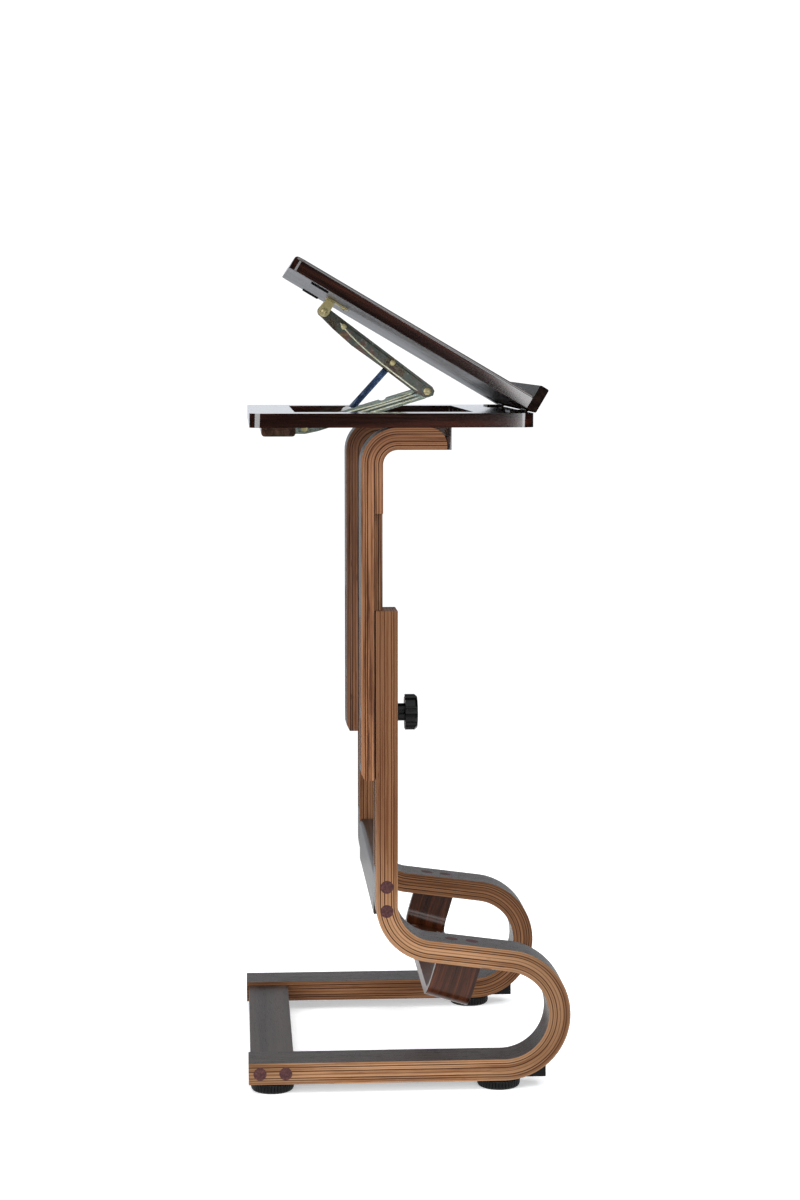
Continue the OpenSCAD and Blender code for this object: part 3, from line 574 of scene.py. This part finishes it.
def ribbed_foot(side, end):
    """A foot's pad in the place of its CAD node, with ribs round its rim."""
    node = f"{side}_{end}_foot"
    low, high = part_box(node)
    centre = Vector(((low.x + high.x) / 2, (low.y + high.y) / 2, 0))
    radius, height = (high.x - low.x) / 2, high.z
    ribs, rib_depth, rim_width, plain_top = 40, 1.1 * MM, 3.2 * MM, 1.2 * MM

    def ribbed(angle, r, z):
        wave = abs(math.cos(angle * ribs / 2)) ** 0.7
        on_rim = 1.0 if r > radius - rim_width and z < height - plain_top else 0.0
        return r - on_rim * (1 - wave) * rib_depth

    work = bmesh.new()
    profile = [(0, 0.8 * MM), (radius - 9 * MM, 0.8 * MM), (radius - 8 * MM, 0), (radius - 3.4 * MM, 0),
               (radius - 1.6 * MM, 0.8 * MM), (radius - 0.4 * MM, 2.6 * MM), (radius, 4.6 * MM),
               (radius, height - 2.0 * MM), (radius - 0.6 * MM, height - 1.0 * MM),
               (radius - 1.6 * MM, height - 0.2 * MM), (radius - 3 * MM, height), (4.0 * MM, height),
               (4.0 * MM, 4 * MM), (0, 4 * MM)]
    lathe(work, profile, Matrix.Translation(centre), ribs * 8, ribbed)
    pad = mesh_from(node, work)
    new_piece(f"{side}_{end}_foot_pad", pad, black, f"foot_{side}_{end}", "black_plastic", node)


for side in ("near", "far"):
    for end in ("rear", "front"):
        ribbed_foot(side, end)


# ---------- stamped and riveted detail of the lift mechanism, with painted highlight and shade lines ---

def plane_at(origin, angle, y, outward):
    """Axes on a wall of an arm: u along it, v across it, local Z outwards along Y."""
    along = Vector((math.cos(angle), 0, -math.sin(angle)))
    across = Vector((math.sin(angle), 0, math.cos(angle)))
    out = Vector((0, outward, 0))
    place = Vector((origin[0], y, origin[1]))
    return Matrix((
        (along.x, across.x, out.x, place.x), (along.y, across.y, out.y, place.y),
        (along.z, across.z, out.z, place.z), (0, 0, 0, 1)))


def half_width(name):
    """How far a node reaches to each side of the middle of the stand."""
    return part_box(name)[1].y


def arm_axes(arm, pivot_pin, far_pin):
    """An arm's pivot as (x, z), how far the arm points down from +X, and half its width over the plates."""
    pivot, far = (sum(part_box(pin), Vector()) / 2 for pin in (pivot_pin, far_pin))
    return Vector((pivot.x, pivot.z)), math.atan2(pivot.z - far.z, far.x - pivot.x), half_width(arm)


UPPER = arm_axes("upper_arm", "upper_pivot_pin", "elbow_pin")
LOWER = arm_axes("lower_arm", "lower_pivot_pin", "elbow_pin")
# Places on an arm, in millimetres along and across it from its pivot
PIVOT, STRUT_PIVOT, SPACER, ELBOW = (0, 0), (102.5, 1.5), (30.0, -0.1), (153.5, 0)


def smooth_line(points, steps=10):
    """Catmull-Rom points through a short list, in millimetres, given back in metres."""
    ends = [points[0], *points, points[-1]]
    line = []
    for a, b, c, d in zip(ends, ends[1:], ends[2:], ends[3:]):
        for k in range(steps):
            t = k / steps
            line.append(tuple(
                MM * 0.5 * (2 * q + (r - p) * t + (2 * p - 5 * q + 4 * r - s) * t ** 2
                            + (3 * q - p - 3 * r + s) * t ** 3)
                for p, q, r, s in zip(a, b, c, d)))
    return line + [tuple(v * MM for v in points[-1])]


def arm_beads(name, arm, lines, width, height, material, body, slot):
    """Beads on both outer walls of an arm, along lines of (u, v) points in millimetres."""
    origin, angle, half = arm
    work = bmesh.new()
    for outward in (-1, 1):
        for points in lines:
            bead(work, smooth_line(points), width, height, plane_at(origin, angle, outward * half, outward))
    new_piece(name, mesh_from(name, work), material, body, slot)


# Pale ribs on the upper arm: painted highlight lines
arm_beads("upper_arm_ribs", UPPER, [[(24, 0.8), (40, -2.6), (66, -5.6), (100, -7.0), (146, -6.6)]],
          1.9 * MM, 1.0 * MM, rib_highlight, "lift_upper_arm", "olive_zinc")
# Dark bead on the upper arm: painted groove shade
arm_beads("upper_arm_shade_line", UPPER, [[(20, 3.4), (60, 3.2), (104, 3.8), (148, 4.4)]],
          1.3 * MM, 0.5 * MM, painted_groove_shade, "lift_upper_arm", "olive_zinc")
# Pale ribs on the lower arm: painted highlight lines
arm_beads("lower_arm_ribs", LOWER,
          [[(20, -4.6), (80, -4.8), (144, -4.6)], [(16, -0.6), (80, -0.5), (140, -0.6)],
           [(14, 3.4), (60, 3.4), (90, 2.2), (110, 2.2), (138, 3.2)]],
          1.5 * MM, 0.8 * MM, rib_highlight, "lift_lower_arm", "olive_zinc")
# Dark beads on the lower arm: painted groove shade
arm_beads("lower_arm_shade_lines", LOWER,
          [[(20, -2.6), (80, -2.7), (144, -2.6)], [(18, 1.4), (80, 1.4), (138, 1.4)]],
          1.2 * MM, 0.4 * MM, painted_groove_shade, "lift_lower_arm", "olive_zinc")


def rivets(name, arm, pin, places, radius, height, body):
    """Domed heads on both ends of the rivets that a CAD pin stands for, at places (u, v) along an arm."""
    origin, angle, _ = arm
    work = bmesh.new()
    for u, v in places:
        x = origin.x + (math.cos(angle) * u + math.sin(angle) * v) * MM
        z = origin.y + (math.cos(angle) * v - math.sin(angle) * u) * MM
        for outward in (-1, 1):
            place = plane_at((x, z), 0.0, outward * half_width(pin), outward)
            profile = [(radius, -0.1 * MM), (radius, height * 0.25)]
            profile += [(radius * math.cos(a), height * (0.25 + 0.75 * math.sin(a))) for a in
                        (math.pi / 2 * k / 6 for k in range(1, 6))]
            lathe(work, profile + [(0, height)], place, 32)
    new_piece(name, mesh_from(name, work), brass, body, "yellow_zinc")


rivets("upper_arm_rivets", UPPER, "strut_pin", [STRUT_PIVOT, SPACER], 3.0 * MM, 1.2 * MM, "lift_upper_arm")
rivets("elbow_rivets", LOWER, "elbow_pin", [ELBOW], 4.6 * MM, 1.6 * MM, "lift_lower_arm")
rivets("upper_pivot_rivets", UPPER, "upper_pivot_pin", [PIVOT], 3.4 * MM, 1.4 * MM, "panel")


# ---------- floor, light and camera ----------

DAYLIGHT = (0.96, 0.98, 1.0)


def add_light(name, place, aim, size, power):
    """A softbox of a width and a height in metres and a power in watts, turned to face the point aim."""
    data = bpy.data.lights.new(name, "AREA")
    data.shape, data.size, data.size_y = "RECTANGLE", *size
    data.energy, data.color = power, DAYLIGHT
    light = bpy.data.objects.new(name, data)
    light.location = place
    light.rotation_euler = (Vector(aim) - Vector(place)).to_track_quat("-Z", "Y").to_euler()
    bpy.context.scene.collection.objects.link(light)


def add_soft_sky(strength, lean, spread):
    """Even light from above over the whole floor. lean is its turn about X and Y, in degrees."""
    data = bpy.data.lights.new("sky", "SUN")
    data.energy, data.angle = strength, math.radians(spread)
    light = bpy.data.objects.new("sky", data)
    light.rotation_euler = (math.radians(lean[0]), math.radians(lean[1]), 0)
    bpy.context.scene.collection.objects.link(light)


def make_floor(radius):
    work = bmesh.new()
    bmesh.ops.create_circle(work, cap_ends=True, segments=96, radius=radius)
    mesh = bpy.data.meshes.new("floor")
    work.to_mesh(mesh)
    work.free()
    floor = bpy.data.objects.new("floor", mesh)
    bpy.context.scene.collection.objects.link(floor)
    p = Paint("floor_paint")
    grain = p.noise(p.x * 3, p.y * 3, p.z, 2.0)
    white = p.ramp(grain, [(0.3, [250, 250, 250]), (0.7, [252, 252, 252])])
    mesh.materials.append(p.finish(white, 0.9, Emission_Color=(1, 1, 1, 1), Emission_Strength=0.42))


def make_world():
    """White to the eye. For light and reflections it is a white backdrop, dark at the sides and in front."""
    world = bpy.data.worlds.new("studio")
    world.use_nodes = True
    tree = world.node_tree
    tree.nodes.remove(tree.nodes["Background"])
    place = tree.nodes.new("ShaderNodeTexCoord").outputs["Generated"]
    split = tree.nodes.new("ShaderNodeSeparateXYZ")
    tree.links.new(place, split.inputs[0])
    x, y, z = (Field(tree, socket) for socket in split.outputs)
    backdrop = y.span(0.80, 0.93) * z.span(0.10, 0.55, 0.9, 0.25)
    ceiling = z.span(0.55, 0.95, 0.0, 0.35)
    around = backdrop + ceiling + 0.03
    seen = tree.nodes.new("ShaderNodeLightPath").outputs["Is Camera Ray"]
    strength = Field(tree, seen).pick(1.1, around)
    sky = tree.nodes.new("ShaderNodeBackground")
    tint = tree.nodes.new("ShaderNodeMix")
    tint.data_type = "RGBA"
    tree.links.new(seen, tint.inputs[0])
    tint.inputs[6].default_value = (0.90, 0.94, 1.0, 1)
    tint.inputs[7].default_value = (1, 1, 1, 1)
    tree.links.new(tint.outputs[2], sky.inputs["Color"])
    tree.links.new(strength.socket, sky.inputs["Strength"])
    tree.links.new(sky.outputs[0], tree.nodes["World Output"].inputs["Surface"])
    bpy.context.scene.world = world


make_floor(1.1)
make_world()
add_soft_sky(2.6, (10, 0), 90)
add_light("front_right", (1.02, -2.9, 0.9), (0.1, 0, 0.6), (1.2, 1.5), 44)
add_light("front_left", (-2.0, -2.2, 1.0), (0, 0, 0.75), (2.5, 0.8), 40)
add_light("high_left", (-2.1, -1.9, 2.0), (0, 0, 0.85), (1.1, 0.9), 11)
add_light("high_right", (1.0, -1.7, 2.2), (0, 0, 0.85), (1.3, 0.9), 12)

# The camera stands before the near side, looks down by the first angle and to the right by the second.
LOOK_DOWN, LOOK_RIGHT = 5.711, 3.713

camera = bpy.data.objects.new("camera", bpy.data.cameras.new("camera"))
camera.data.sensor_width = 36.0
camera.data.lens = 76.5
camera.location = (-0.1967, -3.065, 0.8546)
camera.rotation_euler = (math.radians(90 - LOOK_DOWN), 0, -math.radians(LOOK_RIGHT))
bpy.context.scene.collection.objects.link(camera)
bpy.context.scene.camera = camera
bpy.context.scene.view_settings.view_transform = "Standard"
bpy.context.scene.view_settings.look = "None"
